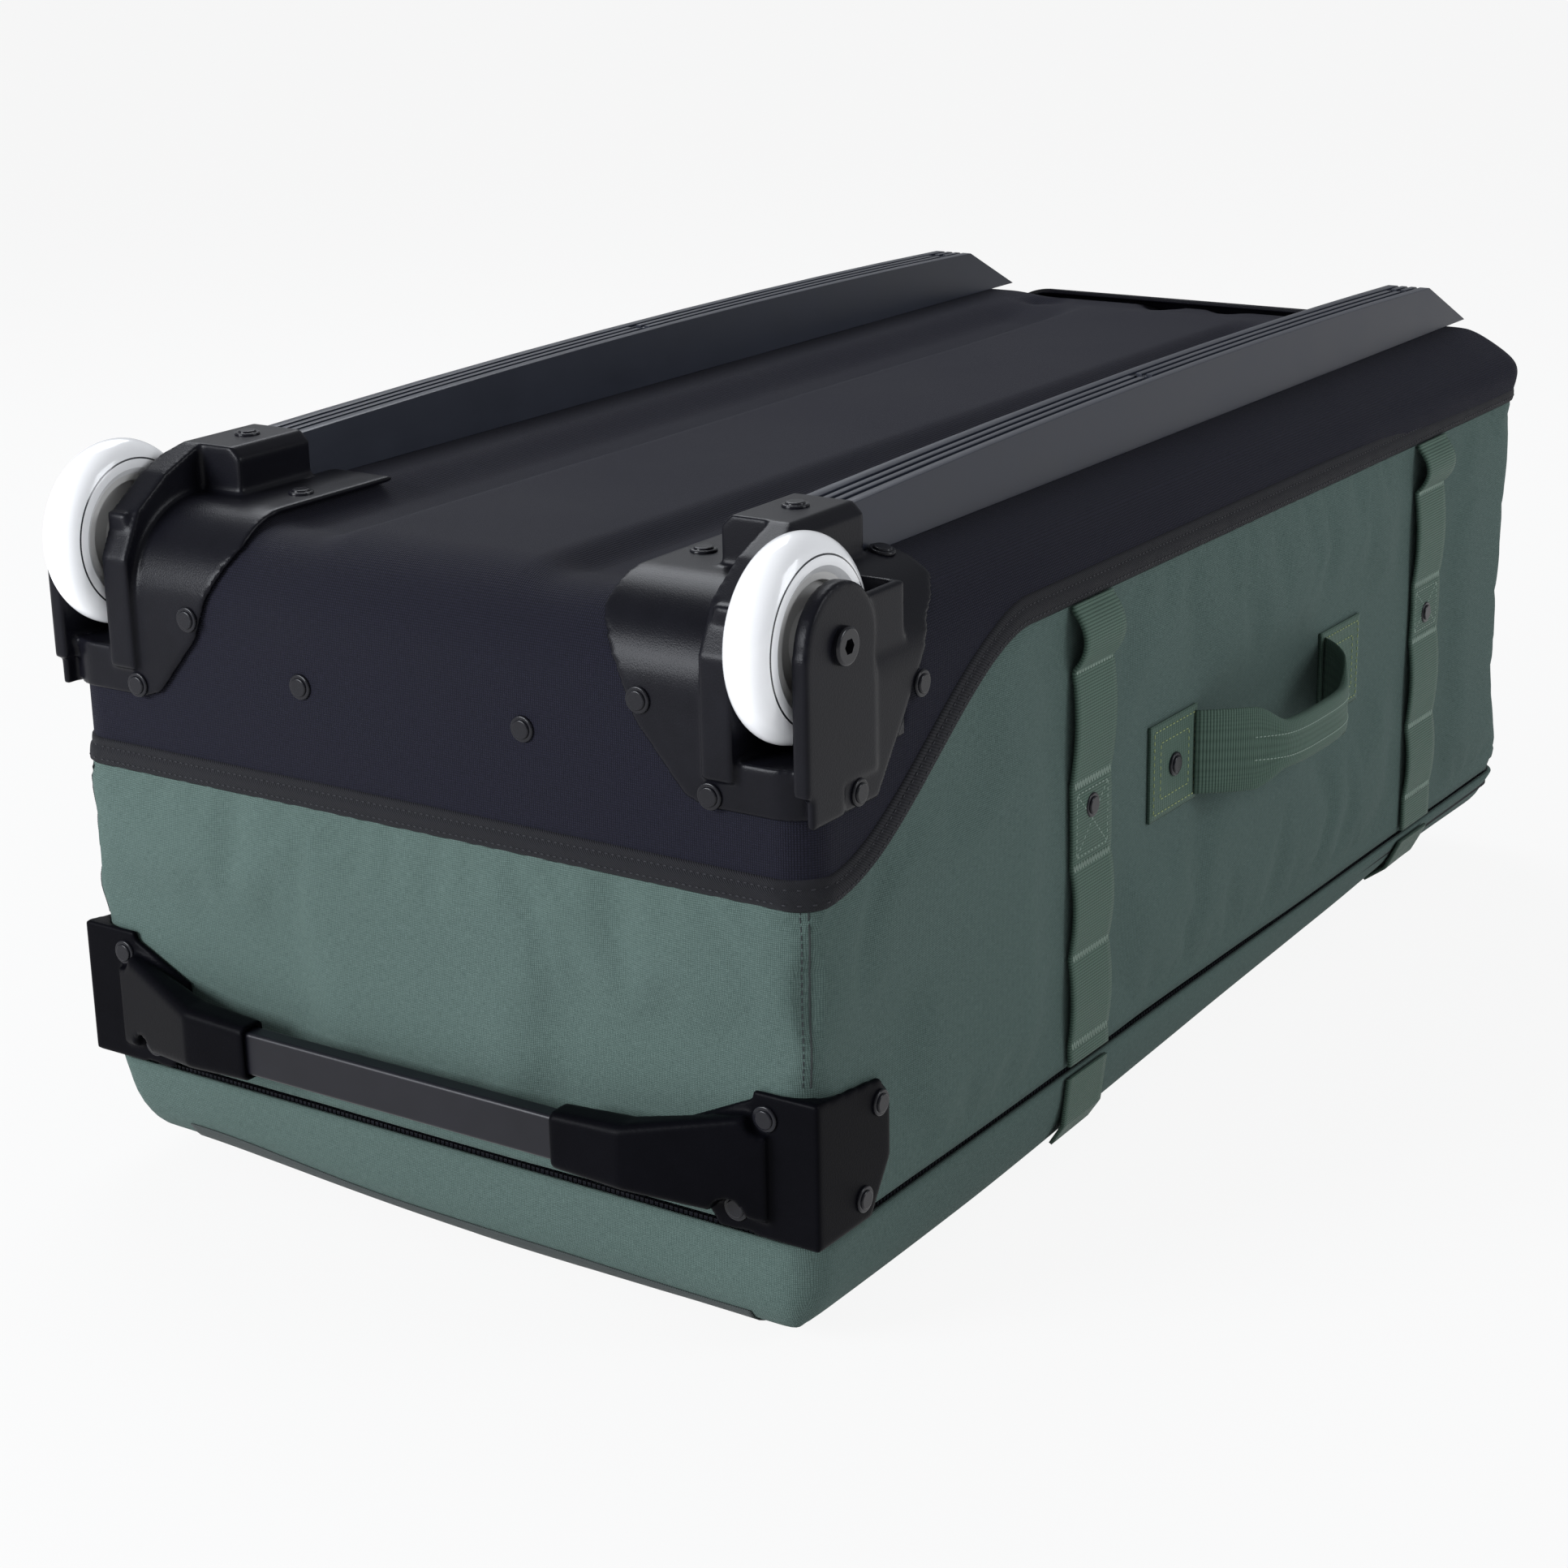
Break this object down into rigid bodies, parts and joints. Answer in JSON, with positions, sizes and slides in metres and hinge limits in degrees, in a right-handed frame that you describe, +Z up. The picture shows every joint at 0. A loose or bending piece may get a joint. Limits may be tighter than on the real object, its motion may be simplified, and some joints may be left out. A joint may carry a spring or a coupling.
{
  "type": "rolling duffel bag",
  "caption": "Large wheeled duffel with a moulded back, skid rails, zipped lid, side carry loops, foot bar and telescopic pull handle.",
  "frame": {"origin": "middle of the footprint, on the surface that the closed lid rests on", "axes": "+Z up, from the lid to the wheels and skid rails; +Y along the bag from the wheel end to the handle end; +X across it"},
  "size_m": [0.508, 0.846, 0.3681],
  "materials": {
    "shell_fabric": "matte",
    "green_fabric": "matte",
    "green_webbing": "matte",
    "black_webbing": "matte",
    "zip_black": "satin",
    "black_plastic": "satin",
    "grey_plastic": "satin",
    "black_steel": "satin",
    "black_aluminium": "satin",
    "aluminium": "satin",
    "rivet_black": "gloss",
    "white_urethane": "gloss",
    "hub_plastic": "satin",
    "bearing_steel": "polished"
  },
  "bodies": {
    "bag": {"back_shell": "shell_fabric", "body_walls": "green_fabric", "seam_binding": "black_webbing", "zip_half_body": "zip_black", "skid_rail_left": "black_plastic", "skid_rail_right": "black_plastic", "rail_screws": "black_steel", "wheel_housing_left": "black_plastic", "wheel_housing_right": "black_plastic", "axle_bolt_left": "black_steel", "axle_bolt_right": "black_steel", "axle_nut_left": "black_steel", "axle_nut_right": "black_steel", "axle_spacers_left": "black_steel", "axle_spacers_right": "black_steel", "housing_rivets": "rivet_black", "sleeve_rivets": "rivet_black", "foot_bar": "black_aluminium", "foot_bracket_left": "black_plastic", "foot_bracket_right": "black_plastic", "bracket_rivets": "rivet_black", "strap_wheel_end_left": "green_webbing", "strap_wheel_end_right": "green_webbing", "strap_handle_end_left": "green_webbing", "strap_handle_end_right": "green_webbing", "strap_rivets": "rivet_black", "handle_patches_left": "green_webbing", "handle_patches_right": "green_webbing", "handle_rivets": "rivet_black", "handle_outer_tubes": "aluminium", "handle_bezel": "black_plastic", "tube_foot_plate": "black_plastic", "tube_foot_rivets": "rivet_black"},
    "lid": {"lid_panel": "green_fabric", "zip_half_lid": "zip_black", "lid_straps": "green_webbing"},
    "wheel_left": {"wheel_tyre_left": "white_urethane", "wheel_hub_left": "hub_plastic", "wheel_bearings_left": "bearing_steel"},
    "wheel_right": {"wheel_tyre_right": "white_urethane", "wheel_hub_right": "hub_plastic", "wheel_bearings_right": "bearing_steel"},
    "carry_loop_left": {"carry_loop_left": "green_webbing"},
    "carry_loop_right": {"carry_loop_right": "green_webbing"},
    "pull_handle": {"handle_inner_tubes": "aluminium", "handle_grip": "black_plastic"},
    "release_button": {"release_button": "grey_plastic"},
    "zip_slider_left": {"zip_slider_left": "black_steel"},
    "zip_slider_right": {"zip_slider_right": "black_steel"},
    "zip_pull_left": {"zip_pull_left": "black_webbing"},
    "zip_pull_right": {"zip_pull_right": "black_webbing"}
  },
  "joints": [
    {"name": "wheel_spin_left", "type": "hinge", "parent": "bag", "child": "wheel_left", "pos_m": [-0.196, -0.373, 0.323], "axis": [1, 0, 0], "continuous": true},
    {"name": "wheel_spin_right", "type": "hinge", "parent": "bag", "child": "wheel_right", "pos_m": [0.196, -0.373, 0.323], "axis": [1, 0, 0], "continuous": true},
    {"name": "lid_hinge", "type": "hinge", "parent": "bag", "child": "lid", "pos_m": [-0.215, 0, 0.056], "axis": [0, 1, 0], "range_deg": [0, 95]},
    {"name": "carry_loop_swing_left", "type": "hinge", "parent": "bag", "child": "carry_loop_left", "pos_m": [-0.2178, 0.039, 0.186], "axis": [0, 1, 0], "range_deg": [-60, 60]},
    {"name": "carry_loop_swing_right", "type": "hinge", "parent": "bag", "child": "carry_loop_right", "pos_m": [0.2178, 0.039, 0.186], "axis": [0, 1, 0], "range_deg": [-60, 60]},
    {"name": "pull_handle_slide", "type": "slide", "parent": "bag", "child": "pull_handle", "axis": [0, 1, 0], "range_m": [0, 0.38]},
    {"name": "release_button_press", "type": "slide", "parent": "pull_handle", "child": "release_button", "axis": [0, -1, 0], "range_m": [0, 0.003], "stiffness_N_per_m": 600},
    {"name": "zip_slide_left", "type": "slide", "parent": "bag", "child": "zip_slider_left", "axis": [-1, 0, 0], "range_m": [0, 0.17]},
    {"name": "zip_slide_right", "type": "slide", "parent": "bag", "child": "zip_slider_right", "axis": [1, 0, 0], "range_m": [0, 0.17]},
    {"name": "zip_pull_flip_left", "type": "hinge", "parent": "zip_slider_left", "child": "zip_pull_left", "pos_m": [-0.01, 0.4169, 0.056], "axis": [1, 0, 0], "range_deg": [0, 150]},
    {"name": "zip_pull_flip_right", "type": "hinge", "parent": "zip_slider_right", "child": "zip_pull_right", "pos_m": [0.01, 0.4169, 0.056], "axis": [1, 0, 0], "range_deg": [0, 150]}
  ]
}
